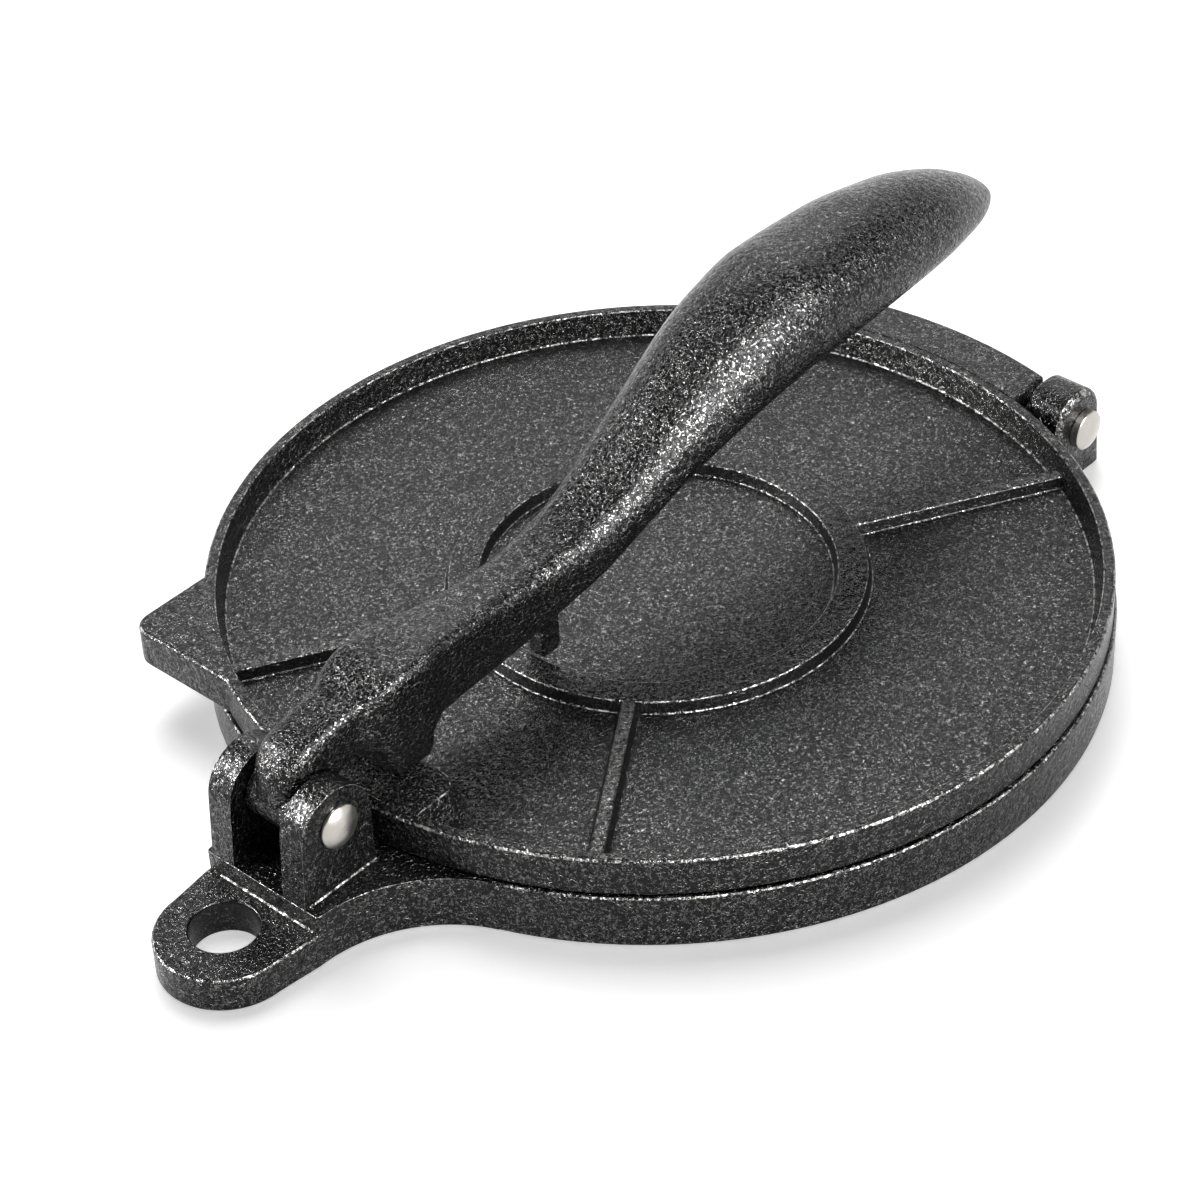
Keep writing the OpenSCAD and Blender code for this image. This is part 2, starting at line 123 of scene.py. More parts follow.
class PressSizes(bpy.types.PropertyGroup):
    """Sizes: heights are above the table, and distances from the plates' centre."""

    centre_x: length("Plate Centre", 0.0167, "Distance of the plates' centre from the origin")
    upper_radius: length("Upper Plate Radius", 0.104, "Radius of the upper plate")
    upper_low: length("Upper Plate Underside", 0.0138, "Height of the upper plate's pressing face")
    upper_top: length("Rim Top", 0.0233, "Height of the upper plate's rim")
    web_top: length("Dish Floor", 0.0168, "Height of the floor of the upper plate's dish")
    rim_width: length("Rim Width", 0.0028, "Width of the rim on top")
    rim_draft: length("Rim Draft", 0.0016, "Spread of the rim's inner wall to its foot")
    ring_outer: length("Ring Outer Radius", 0.0482, "Outer radius of the ring")
    ring_inner: length("Ring Inner Radius", 0.0413, "Inner radius of the ring")
    ring_height: length("Ring Height", 0.0028, "Height of the ring and ribs over the dish")
    ring_draft: length("Ring Draft", 0.0009, "Spread of the ring's sides to their foot")
    rib_width: length("Rib Width", 0.003, "Width of a rib along its top")
    base_radius: length("Base Radius", 0.10475, "Radius of the base plate")
    base_top: length("Base Top", 0.0135, "Height of the base plate's pressing face")
    base_web: length("Base Hollow Top", 0.0105, "Height of the hollow under the base plate")
    base_rib_height: length("Base Rib Height", 0.004, "Depth of the ribs under the base plate")
    wall_inner: length("Base Wall Inner Radius", 0.1002, "Inner radius of the base's wall")
    tail_top: length("Tail Top", 0.0086, "Height of the tail's loop")
    hole_x: length("Hanging Hole Distance", 0.139, "Distance of the hole")
    hole_radius: length("Hanging Hole Radius", 0.0076, "Radius of the hanging hole")
    loop_radius: length("Loop Radius", 0.0154, "Outer radius of the tail's loop")
    loop_shift: length("Loop Shift", 0.0006, "Distance from the hole to the loop's centre")
    tail_lean: length("Tail Lean", 0.0009, "How far the tail leans to the near side")
    neck_half: length("Neck Half Width", 0.0167, "Half the width of the tail's neck")
    neck_curve: length("Neck Curve", 0.034, "Radius of the hollow curves into the plate")
    step_x: length("Step Distance", 0.1283, "Distance of the step on the tail")
    lever_pin_x: length("Lever Pin Distance", 0.1168, "Distance of the lever's pin")
    lever_pin_z: length("Lever Pin Height", 0.0294, "Height of the lever's pin")
    ear_gap: length("Ear Gap", 0.0148, "Gap between the lever's ears")
    ear_thickness: length("Ear Thickness", 0.0066, "Thickness of each of the lever's ears")
    ear_radius: length("Ear Radius", 0.01, "Radius of the round top of the lever's ears")
    pad_x: length("Pad Distance", 0.086, "Distance of the cam pad's end")
    pad_half: length("Pad Half Width", 0.0193, "Half the width of the cam pad")
    pad_slope: length("Pad Slope", 0.0022, "Spread of the pad's sides to their foot")
    pad_corner: length("Pad Corner", 0.005, "Radius of the pad's corners")
    channel_half: length("Channel Half Width", 0.0109, "Half the width of the pad's channel")
    channel_depth: length("Channel Depth", 0.0007, "Depth of the pad's channel")
    tab_x: length("Tab Distance", 0.094, "Distance of the lifting tab's end")
    tab_y: length("Tab Reach", 0.076, "Distance of the lifting tab's side")
    tab_corner: length("Tab Corner", 0.005, "Radius of the lifting tab's corner")
    tongue_half: length("Tongue Half Width", 0.027, "Half the width of the hinge tongue")
    tongue_end: length("Tongue End Radius", 0.1158, "Radius of the tongue's end about the centre")
    barrel_radius: length("Barrel Radius", 0.0062, "Radius of the tongue's barrel")
    hinge_x: length("Hinge Distance", 0.112, "Distance of the hinge pin")
    hinge_z: length("Hinge Height", 0.0137, "Height of the hinge pin")
    hinge_inner: length("Hinge Ear Inner Face", 0.028, "Distance of each hinge ear's inner face")
    hinge_outer: length("Hinge Ear Outer Face", 0.039, "Distance of each hinge ear's outer face")
    hinge_top: length("Hinge Ear Top", 0.0238, "Height of each hinge ear")
    hinge_corner: length("Hinge Ear Corner", 0.0074, "Radius of each hinge ear's top corners")
    bridge_top: length("Bridge Top", 0.0064, "Height of the bridge between the hinge ears")
    boss_radius: length("Lever Boss Radius", 0.0066, "Radius of the lever's boss round its pin")
    nub_x: length("Nub Distance", 0.039, "Distance of the nub under the lever")
    nub_half: length("Nub Half Width", 0.0023, "Half the width of the nub")
    nub_gap: length("Nub Gap", 0.0003, "Height of the nub above the ring")
    pin_radius: length("Pin Radius", 0.003, "Radius of both pins")
    lever_head: length("Lever Pin Head Radius", 0.0051, "Radius of the lever pin's domed heads")
    hinge_head: length("Hinge Pin Head Radius", 0.005, "Radius of the hinge pin's domed heads")
    edge: length("Casting Edge", 0.0008, "Radius of the castings' outer edges")


class PressFinish(bpy.types.PropertyGroup):
    """Colours and surface of the castings and rivets."""

    iron: colour("Iron", (0.006, 0.006, 0.0064), "Colour of the seasoned iron")
    fleck: colour("Fleck", (0.42, 0.42, 0.41), "Colour of the light flecks in the finish")
    # Edge colour: partly rubbed-through finish, partly painted highlight along edges and in
    # creases.
    worn_and_highlight: colour("Worn Edge", (0.36, 0.355, 0.345), "Colour where the finish has worn off an edge")
    nickel: colour("Nickel", (0.47, 0.445, 0.415), "Colour of the rivets' heads")
    body_grain: length("Body Grain", 0.0008, "Size of the wrinkles on sides and lever")
    floor_grain: length("Dish Grain", 0.00066, "Size of the wrinkles on the dish's floor")
    body_depth: length("Body Depth", 0.0003, "Depth of the wrinkles on sides and lever")
    floor_depth: length("Dish Depth", 0.00024, "Depth of the wrinkles on the dish's floor")
    wall_depth: length("Wall Depth", 0.00009, "Depth of the wrinkles on the smooth inner walls")


class StageSetup(bpy.types.PropertyGroup):
    """The plain studio round the press."""

    radius: FloatProperty(
        name="Backdrop Radius", default=4.0, min=1.0, unit="LENGTH",
        description="Radius of the round backdrop",
    )
    curve: FloatProperty(
        name="Backdrop Curve", default=0.8, min=0.1, unit="LENGTH",
        description="Radius of the curve from floor to wall",
    )
    wall: FloatProperty(
        name="Backdrop Height", default=2.0, min=0.8, unit="LENGTH",
        description="Height of the backdrop's wall",
    )
    floor: colour("Floor", (0.86, 0.86, 0.86), "Colour of the floor and backdrop")
    floor_lift: share("Floor Lift", 0.52, "How much the floor glows for the camera")
    ambient: share("Ambient", 0.06, "Strength of the light from all round", 2.0)
    overhead_power: share("Overhead Softbox", 25.0, "Watts of the softbox overhead", 200.0)
    rear_power: share("Rear Softbox", 7.0, "Watts of the softbox behind", 200.0)
    front_power: share("Front Card", 42.0, "Watts of the card that the lever shines with", 200.0)
    left_power: share("Left Card", 30.0, "Watts of the card that the ears shine with", 200.0)
    image_size: IntProperty(
        name="Image Size", default=1200, min=16,
        description="Width and height of the image, in pixels",
    )


def in_mm(group):
    """The lengths of a property group in millimetres, by name."""
    return SimpleNamespace(**{name: getattr(group, name) / MM for name in group.__annotations__})


# Outlines and shells, in millimetres about the plates' centre

# Turns of a flat outline that stand it up: its Y becomes Z, or it faces along the press.
UPRIGHT = Matrix(((1, 0, 0, 0), (0, 0, 1, 0), (0, 1, 0, 0), (0, 0, 0, 1)))
LENGTHWISE = Matrix(((0, 0, 1, 0), (1, 0, 0, 0), (0, 1, 0, 0), (0, 0, 0, 1)))
TOUCH = 0.1
ROUND = 288


class Pen:
    """Draws a closed outline in the XY plane with straight strokes and arcs."""

    def __init__(self, x, y):
        self.bm = bmesh.new()
        self.bm.verts.layers.float.new("wear")
        self.first = self.here = self.bm.verts.new((x, y, 0))

    def to(self, *points):
        """Straight strokes from point to point."""
        for x, y in points:
            there = self.bm.verts.new((x, y, 0))
            self.bm.edges.new((self.here, there))
            self.here = there
        return self

    def arc(self, x, y, turn, steps):
        """An arc about a centre, from here on; the turn is in degrees."""
        made = bmesh.ops.spin(
            self.bm, geom=[self.here], cent=(x, y, 0), axis=(0, 0, 1),
            angle=math.radians(turn), steps=steps, use_merge=False, use_duplicate=False,
        )
        self.here = made["geom_last"][0]
        return self

    def close(self):
        """Ends the outline where it began."""
        if (self.here.co - self.first.co).length > 0.02:
            self.bm.edges.new((self.here, self.first))
        bmesh.ops.remove_doubles(self.bm, verts=self.bm.verts, dist=0.02)

    def slab(self, low, high, hole=None):
        """A solid between two heights, with a round hole if one is given as (x, y, radius)."""
        self.close()
        if hole:
            x, y, radius = hole
            bmesh.ops.create_circle(
                self.bm, cap_ends=False, segments=48, radius=radius,
                matrix=Matrix.Translation((x, y, 0)),
            )
            bmesh.ops.triangle_fill(
                self.bm, use_beauty=True, use_dissolve=False, edges=self.bm.edges
            )
        else:
            bmesh.ops.contextual_create(self.bm, geom=self.bm.edges)
        bmesh.ops.translate(self.bm, vec=(0, 0, low), verts=self.bm.verts)
        grown = bmesh.ops.extrude_face_region(self.bm, geom=self.bm.faces[:])
        top = [v for v in grown["geom"] if isinstance(v, bmesh.types.BMVert)]
        bmesh.ops.translate(self.bm, vec=(0, 0, high - low), verts=top)
        bmesh.ops.recalc_face_normals(self.bm, faces=self.bm.faces)
        return self.bm

    def _slab_on(self, plane, low, high):
        self.slab(low, high)
        bmesh.ops.transform(self.bm, matrix=plane, verts=self.bm.verts)
        bmesh.ops.recalc_face_normals(self.bm, faces=self.bm.faces)
        return self.bm

    def standing(self, near, far):
        """A slab whose outline is in X and Z, with its faces at two values of Y."""
        return self._slab_on(UPRIGHT, near, far)

    def lengthwise(self, near, far):
        """A slab whose outline is in Y and Z, with its faces at two values of X."""
        return self._slab_on(LENGTHWISE, near, far)

    def turned(self, steps):
        """A solid of revolution about Z; the outline is in (radius, height)."""
        bmesh.ops.transform(self.bm, matrix=UPRIGHT, verts=self.bm.verts)
        bmesh.ops.spin(
            self.bm, geom=self.bm.verts[:] + self.bm.edges[:], cent=(0, 0, 0), axis=(0, 0, 1),
            angle=math.tau, steps=steps, use_merge=True, use_duplicate=False,
        )
        bmesh.ops.remove_doubles(self.bm, verts=self.bm.verts, dist=0.0005)
        bmesh.ops.recalc_face_normals(self.bm, faces=self.bm.faces)
        return self.bm


def box_shell(low, high):
    """A closed box between two corners."""
    pen = Pen(low[0], low[1]).to((high[0], low[1]), (high[0], high[1]), (low[0], high[1]))
    return pen.slab(low[2], high[2])


def rod(x, z, radius, near, far, segments=64):
    """A cylinder along Y."""
    bm = bmesh.new()
    bm.verts.layers.float.new("wear")
    place = Matrix.Translation((x, (near + far) / 2, z)) @ Matrix.Rotation(math.pi / 2, 4, "X")
    bmesh.ops.create_cone(
        bm, cap_ends=True, segments=segments, radius1=radius, radius2=radius,
        depth=far - near, matrix=place,
    )
    return bm


def soften(bm, radius, where=None, segments=3, wear=1.0):
    """Rounds the sharp edges that pass a test of (middle, end, end), and gives the middle of each
    rounding the edge-mask value, which lightens it partly as rubbed-through finish, partly as
    painted highlight.
    """
    sharp = math.radians(25)
    edges = []
    for edge in bm.edges:
        if len(edge.link_faces) != 2 or edge.calc_face_angle(0) < sharp:
            continue
        a, b = (v.co for v in edge.verts)
        if where is None or where((a + b) / 2, a, b):
            edges.append(edge)
    made = bmesh.ops.bevel(
        bm, geom=edges, offset=radius, offset_type="OFFSET", segments=segments, profile=0.5,
        affect="EDGES", clamp_overlap=True, material=-1,
    )
    fresh = set(made["faces"])
    layer = bm.verts.layers.float["wear"]
    for vert in made["verts"]:
        if all(face in fresh for face in vert.link_faces):
            vert[layer] = wear
    return bm


def strip(start, end, side, size):
    """A small triangular bead in the corner where a wall meets a flat, with the full edge-mask
    value on most of it: a painted highlight line along the crease.
    """
    start, side = Vector(start), Vector(side).normalized()
    run = Vector(end) - start
    bm = Pen(-0.05, 0).to((size, 0), (0, size)).slab(0, run.length)
    # Painted highlight line: the bead's corner-facing verts take the full mask value.
    layer = bm.verts.layers.float["wear"]
    for vert in bm.verts:
        vert[layer] = 1.0 if vert.co.x > -0.01 else 0.0
    place = Matrix((side, Vector((0, 0, 1)), run.normalized())).transposed().to_4x4()
    place.translation = start
    bmesh.ops.transform(bm, matrix=place, verts=bm.verts)
    bmesh.ops.recalc_face_normals(bm, faces=bm.faces)
    return bm


def finish_shaded_walls(bm, reach=math.inf, centre=(0, 0), lean=0.5):
    """Gives the wall finish, whose fewer flecks are painted shade, to the upright faces within
    reach of an upright line.
    """
    for face in bm.faces:
        middle = face.calc_center_median()
        if abs(face.normal.z) < lean and (middle.xy - Vector(centre)).length < reach:
            face.material_index = SHADED_WALL


def both_sides(make):
    """A shell and its mirror image across the press's length."""
    shells = []
    for side in (1, -1):
        bm = make()
        if side < 0:
            bmesh.ops.scale(bm, vec=(1, -1, 1), verts=bm.verts)
            bmesh.ops.reverse_faces(bm, faces=bm.faces)
        shells.append(bm)
    return shells


class Casting:
    """One cast piece, gathered from closed shells that run into each other."""

    def __init__(self):
        self.bm = bmesh.new()
        self.bm.verts.layers.float.new("wear")

    def add(self, *shells):
        """Takes the shells in and frees them."""
        for shell in shells:
            mesh = bpy.data.meshes.new("shell")
            shell.to_mesh(mesh)
            shell.free()
            self.bm.from_mesh(mesh)
            bpy.data.meshes.remove(mesh)

    def piece(self, name, centre_x, materials, body, node, slot):
        """Puts the casting in its place as an object that stands for a CAD node."""
        crease = math.radians(32)
        bmesh.ops.translate(self.bm, vec=(centre_x, 0, 0), verts=self.bm.verts)
        bmesh.ops.scale(self.bm, vec=(MM, MM, MM), verts=self.bm.verts)
        for face in self.bm.faces:
            face.smooth = True
        for edge in self.bm.edges:
            edge.smooth = edge.calc_face_angle(0) < crease
        mesh = bpy.data.meshes.new(name)
        self.bm.to_mesh(mesh)
        self.bm.free()
        for material in materials:
            mesh.materials.append(material)
        piece = bpy.data.objects.new(name, mesh)
        bpy.context.scene.collection.objects.link(piece)
        weighted = piece.modifiers.new("Flat Faces", "WEIGHTED_NORMAL")
        weighted.keep_sharp = True
        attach(piece, body)
        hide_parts(node)


def ribs(sizes, inner, outer, web, height, facing, near_tail=RIB_ANGLE):
    """The four ribs that run from the ring to the rim, with filleted feet."""
    top = sizes.rib_width / 2
    foot = top + sizes.ring_draft
    skirt, lift, sunk, round_off = 0.7, 0.012, -0.4, 0.4
    shells = []
    for turn in (-RIB_ANGLE, RIB_ANGLE, 180 - RIB_ANGLE, 180 + near_tail):
        pen = Pen(-foot - skirt, sunk)
        pen.to(
            (foot + skirt, sunk), (foot + skirt, lift), (foot, lift), (top, height),
            (-top, height), (-foot, lift), (-foot - skirt, lift),
        )
        bm = pen.lengthwise(inner, outer)
        soften(bm, round_off, lambda m, a, b: m.z > height - TOUCH and abs(a.x - b.x) > 5)
        # The fillets at the rib feet carry a painted highlight line in the crease.
        soften(bm, round_off, lambda m, a, b: abs(m.z - lift) < TOUCH
               and abs(abs(m.y) - foot) < TOUCH and abs(a.x - b.x) > 5)
        bm.normal_update()
        finish_shaded_walls(bm, lean=0.6)
        # Rib tops get a partial edge-mask value: lightened partly as rubbed-through finish, partly
        # as painted highlight.
        layer = bm.verts.layers.float["wear"]
        for vert in bm.verts:
            if vert.co.z > height - 0.25:
                vert[layer] = max(vert[layer], 0.86)
        bmesh.ops.scale(bm, vec=(1, 1, facing), verts=bm.verts)
        bmesh.ops.translate(bm, vec=(0, 0, web), verts=bm.verts)
        bmesh.ops.rotate(
            bm, cent=(0, 0, 0), matrix=Matrix.Rotation(math.radians(turn), 3, "Z"), verts=bm.verts
        )
        bmesh.ops.recalc_face_normals(bm, faces=bm.faces)
        shells.append(bm)
    return shells


def circle_edge(radius, height):
    """A test for the edges of one circle of a turned shell."""
    def on_circle(point):
        return abs(point.z - height) < 0.05 and abs(point.xy.length - radius) < 0.05

    return lambda middle, a, b: on_circle(a) and on_circle(b)


def upper_disc(sizes):
    """The upper plate's turned part: rim, dish and ring."""
    s = sizes
    rim_in = s.upper_radius - s.rim_width
    ring_top = s.web_top + s.ring_height
    pen = Pen(0, s.upper_low)
    pen.to(
        (s.upper_radius, s.upper_low), (s.upper_radius, s.upper_top), (rim_in, s.upper_top),
        (rim_in - s.rim_draft, s.web_top), (s.ring_outer + s.ring_draft, s.web_top),
        (s.ring_outer, ring_top), (s.ring_inner, ring_top),
        (s.ring_inner - s.ring_draft, s.web_top), (0, s.web_top),
    )
    bm = pen.turned(ROUND)
    soften(bm, s.edge, circle_edge(s.upper_radius, s.upper_low))
    soften(bm, s.edge, circle_edge(s.upper_radius, s.upper_top), segments=4)
    # The rim's and ring's top edges are lightened by the edge mask partly as rubbed-through
    # finish, partly as painted highlight; the fillets at the feet of the rim and ring carry a
    # painted highlight line.
    for size, radius, height in (
        (0.5, rim_in, s.upper_top), (0.6, rim_in - s.rim_draft, s.web_top),
        (0.4, s.ring_outer, ring_top), (0.4, s.ring_inner, ring_top),
        (0.4, s.ring_outer + s.ring_draft, s.web_top),
        (0.4, s.ring_inner - s.ring_draft, s.web_top),
    ):
        soften(bm, size, circle_edge(radius, height))
    finish_shaded_walls(bm, s.ring_outer + 1)
    for face in bm.faces:
        if abs(face.calc_center_median().z - s.web_top) < 0.05:
            face.material_index = DISH
    return bm


def lifting_tab(sizes):
    """The square ear on the rim that a thumb lifts the plate by."""
    s = sizes
    reach = 102.8
    first, last = Vector((-s.tab_x, 41.6)), Vector((-69.2, s.tab_y))
    turn = math.degrees(math.atan2(first.y, first.x) - math.atan2(last.y, last.x))
    pen = Pen(*first).to((-s.tab_x, s.tab_y), tuple(last)).arc(0, 0, turn, 14)
    bm = pen.slab(s.upper_low, s.upper_top + 0.02)
    soften(bm, s.tab_corner, lambda m, a, b: abs(m.x + s.tab_x) < TOUCH
           and abs(m.y - s.tab_y) < TOUCH, segments=8, wear=0)
    soften(bm, s.edge, lambda m, a, b: abs(a.z - b.z) < TOUCH and m.xy.length > reach + TOUCH,
           segments=4)
    return bm


def cam_pad(sizes):
    """The raised pad that the lever's cam presses on, with its shallow channel."""
    s = sizes
    half, channel = s.pad_half, s.channel_half
    top, low = s.upper_top + 0.02, s.web_top - 0.4
    floor = top - s.channel_depth
    back, reach = -101, 102.9
    pen = Pen(-half - s.pad_slope, low)
    pen.to(
        (half + s.pad_slope, low), (half, top), (channel, top), (channel, floor),
        (-channel, floor), (-channel, top), (-half, top),
    )
    bm = pen.lengthwise(back, -s.pad_x)
    for face in bm.faces:
        face.material_index = DISH
    for vert in bm.verts:
        if vert.co.x < back + 1:
            vert.co.x = -math.sqrt(reach**2 - vert.co.y**2)
        elif vert.co.z < low + TOUCH:
            vert.co.x += s.pad_slope
    soften(bm, s.pad_corner, lambda m, a, b: m.x > TOUCH - s.pad_x and abs(m.y) > half + TOUCH
           and abs(a.z - b.z) > 1, segments=8, wear=0)
    # The pad's top edges are lightened by the edge mask partly as rubbed-through finish, partly as
    # painted highlight; the channel's step line is a painted highlight.
    soften(bm, 0.45, lambda m, a, b: m.z > top - TOUCH and m.x > back
           and abs(m.y) > channel + TOUCH)
    soften(bm, 0.5, lambda m, a, b: m.z > top - TOUCH and m.x > back - 0.5
           and abs(m.y) < channel + TOUCH)
    return bm


def tongue(sizes):
    """The tongue between the hinge ears, with its barrel round the pin."""
    s = sizes
    half, end, start = s.tongue_half, s.tongue_end, s.upper_radius - 0.3
    outer_turn = 2 * math.degrees(math.asin(half / end))
    inner_turn = 2 * math.degrees(math.asin(half / start))
    inner_x = math.sqrt(start**2 - half**2)
    pen = Pen(inner_x, -half)
    pen.to((math.sqrt(end**2 - half**2), -half)).arc(0, 0, outer_turn, 24)
    pen.to((inner_x, half)).arc(0, 0, -inner_turn, 24)
    bm = pen.slab(s.upper_low, s.upper_top + 0.06)
    soften(bm, s.edge, lambda m, a, b: m.z > s.upper_low + 1 and m.xy.length > start + 0.4,
           segments=4, wear=0.6)
    barrel = rod(s.hinge_x, s.hinge_z, s.barrel_radius, -half, half)
    soften(barrel, 0.6)
    return bm, barrel


def base_disc(sizes):
    """The base plate's turned part, with the hollow and ring underneath."""
    s = sizes
    low = s.base_web - s.base_rib_height
    pen = Pen(0, s.base_web)
    pen.to(
        (s.ring_inner - s.ring_draft, s.base_web), (s.ring_inner, low), (s.ring_outer, low),
        (s.ring_outer + s.ring_draft, s.base_web), (s.wall_inner - s.rim_draft, s.base_web),
        (s.wall_inner, 0), (s.base_radius, 0), (s.base_radius, s.base_top), (0, s.base_top),
    )
    bm = pen.turned(ROUND)
    soften(bm, s.edge, circle_edge(s.base_radius, 0))
    soften(bm, s.edge, circle_edge(s.base_radius, s.base_top))
    soften(bm, 0.5, circle_edge(s.wall_inner, 0))
    soften(bm, 0.9, circle_edge(s.wall_inner - s.rim_draft, s.base_web), wear=0.3)
    soften(bm, 0.4, circle_edge(s.ring_outer, low))
    soften(bm, 0.4, circle_edge(s.ring_inner, low))
    cut = bmesh.ops.bisect_plane(
        bm, geom=bm.verts[:] + bm.edges[:] + bm.faces[:], plane_co=(s.hinge_x - 8.4, 0, 0),
        plane_no=(1, 0, 0), clear_outer=True,
    )
    rim = [e for e in cut["geom_cut"] if isinstance(e, bmesh.types.BMEdge)]
    bmesh.ops.holes_fill(bm, edges=rim, sides=0)
    for face in bm.faces:
        middle = face.calc_center_median()
        if middle.z > s.base_top - 0.05 or abs(middle.z - s.base_web) < 0.05:
            face.material_index = DISH
    return bm


def tail_outline(sizes, loop):
    """Plan of the tail: the hollow curves into the plate, with or without the loop."""
    s = sizes
    curve, root = s.neck_curve, 102.8
    reach = s.base_radius + curve
    near, far = s.neck_half + s.tail_lean, s.neck_half - s.tail_lean
    near_x = math.sqrt(reach**2 - (near + curve) ** 2)
    far_x = math.sqrt(reach**2 - (far + curve) ** 2)
    near_end = Vector((-near_x, -near - curve)) * s.base_radius / reach
    far_end = Vector((-far_x, far + curve)) * s.base_radius / reach
    near_turn = 90 - math.degrees(math.atan2(near_end.y + near + curve, near_end.x + near_x))
    far_turn = 90 + math.degrees(math.atan2(far_end.y - far - curve, far_end.x + far_x))
    pen = Pen(*near_end).arc(-near_x, -near - curve, near_turn, 22)
    if loop:
        loop_x = -s.hole_x - s.loop_shift
        pen.to((loop_x, -s.tail_lean - s.loop_radius)).arc(loop_x, -s.tail_lean, -180, 48)
    pen.to((-far_x, far)).arc(-far_x, far + curve, far_turn, 22)
    pen.to(tuple(far_end * root / s.base_radius))
    turn = math.degrees(math.atan2(near_end.y, near_end.x) - math.atan2(far_end.y, far_end.x))
    return pen.arc(0, 0, turn % 360, 20)


def tail_shells(sizes):
    """The tail's loop with its hanging hole, and the step that carries the ears."""
    s = sizes
    hole = Vector((-s.hole_x, 0))
    low = tail_outline(s, True).slab(0, s.tail_top, hole=(*hole, s.hole_radius))
    low.normal_update()
    finish_shaded_walls(low, s.hole_radius + 0.5, hole)
    soften(low, 0.7, lambda m, a, b: m.z > s.tail_top - TOUCH and m.x < -s.step_x
           and (m.xy - hole).length > s.hole_radius + 1, segments=4)
    soften(low, 0.5, lambda m, a, b: m.z > s.tail_top - TOUCH
           and (m.xy - hole).length < s.hole_radius + 0.5, wear=0.8)
    soften(low, 0.6, lambda m, a, b: m.z < TOUCH and m.xy.length > 104, wear=0.3)
    top, foot = s.base_top + 0.02, s.tail_top - 0.02
    step = tail_outline(s, False).slab(s.tail_top - 0.05, top)
    for vert in step.verts:
        vert.co.x = max(vert.co.x, -s.step_x)
    bmesh.ops.remove_doubles(step, verts=step.verts, dist=0.05)
    soften(step, 1.2, lambda m, a, b: m.x < -s.step_x + 0.2 and abs(m.y) > 14
           and abs(a.z - b.z) > 1, segments=4)
    soften(step, 0.55, lambda m, a, b: m.z > top - TOUCH and m.xy.length > 104)
    # A bead along the foot of the step, carrying a painted highlight line.
    bead = strip((-s.step_x, -15.8, foot), (-s.step_x, 14, foot), (-1, 0, 0), 0.35)
    return low, step, bead


def ear_centre(sizes):
    """X and Z of the centre of the lever ears' round top, which is a little off the pin."""
    return -sizes.lever_pin_x - 0.4, sizes.lever_pin_z - 0.6


def lever_ear(sizes):
    """One of the two ears that hold the lever's pin."""
    s = sizes
    x, z = ear_centre(s)
    near, far = s.ear_gap / 2, s.ear_gap / 2 + s.ear_thickness
    back, foot, sweep = -s.step_x, s.base_top - 5, 175
    rise = math.radians(sweep)
    pen = Pen(back + 0.4, foot)
    pen.to(
        (back + 0.4, s.base_top - 0.1), (back, s.base_top + 0.3),
        (x + s.ear_radius * math.cos(rise), z + s.ear_radius * math.sin(rise)),
    )
    pen.arc(x, z, -sweep, 36).to((x + s.ear_radius, foot))
    bm = pen.standing(near, far)
    soften(bm, 1.2, lambda m, a, b: m.z > foot + 0.5 and abs(a.y - b.y) < TOUCH
           and not (abs(m.y - near) < TOUCH and m.x > x + s.ear_radius - 1),
           segments=5, wear=0.93)
    return bm


def ear_bead(sizes):
    """The thin bead along the outer foot of one lever ear, which carries a painted highlight line.
    """
    s = sizes
    far = s.ear_gap / 2 + s.ear_thickness
    front = ear_centre(s)[0] + s.ear_radius
    z = s.base_top
    return strip((-s.step_x + 1.2, far, z), (front, far, z), (0, 1, 0), 0.3)


def hinge_ear(sizes):
    """One of the two ears that hold the hinge pin."""
    s = sizes
    corner = s.hinge_corner
    back, front = s.hinge_x - 9.3, s.hinge_x + 7.5
    mid = s.hinge_top - corner
    pen = Pen(back, 0).to((back, mid)).arc(back + corner, mid, -90, 14)
    pen.to((front - corner, s.hinge_top)).arc(front - corner, mid, -90, 14).to((front + 1.2, 0))
    bm = pen.standing(s.hinge_inner, s.hinge_outer)
    soften(bm, 1.9, lambda m, a, b: m.y > s.hinge_outer - TOUCH and m.z > TOUCH, segments=5)
    soften(bm, 0.9, lambda m, a, b: m.y < s.hinge_inner + TOUCH and m.z > TOUCH)
    soften(bm, 0.6, lambda m, a, b: m.z < TOUCH and abs(a.y - b.y) > 1, wear=0.3)
    return bm


def hinge_foot(sizes):
    """The block that joins one hinge ear to the base's wall."""
    s = sizes
    reach = 102.4
    inner, outer = s.hinge_inner, s.hinge_outer
    far = math.sqrt(reach**2 - outer**2)
    near = math.sqrt(reach**2 - inner**2)
    turn = math.degrees(math.asin(inner / reach) - math.asin(outer / reach))
    pen = Pen(near, inner).to((s.hinge_x - 7, inner), (s.hinge_x - 7, outer), (far, outer))
    bm = pen.arc(0, 0, turn, 6).slab(0, s.base_top + 0.02)
    soften(bm, 0.8, lambda m, a, b: m.y > outer - TOUCH and m.z > 1 and abs(a.z - b.z) < TOUCH)
    return bm


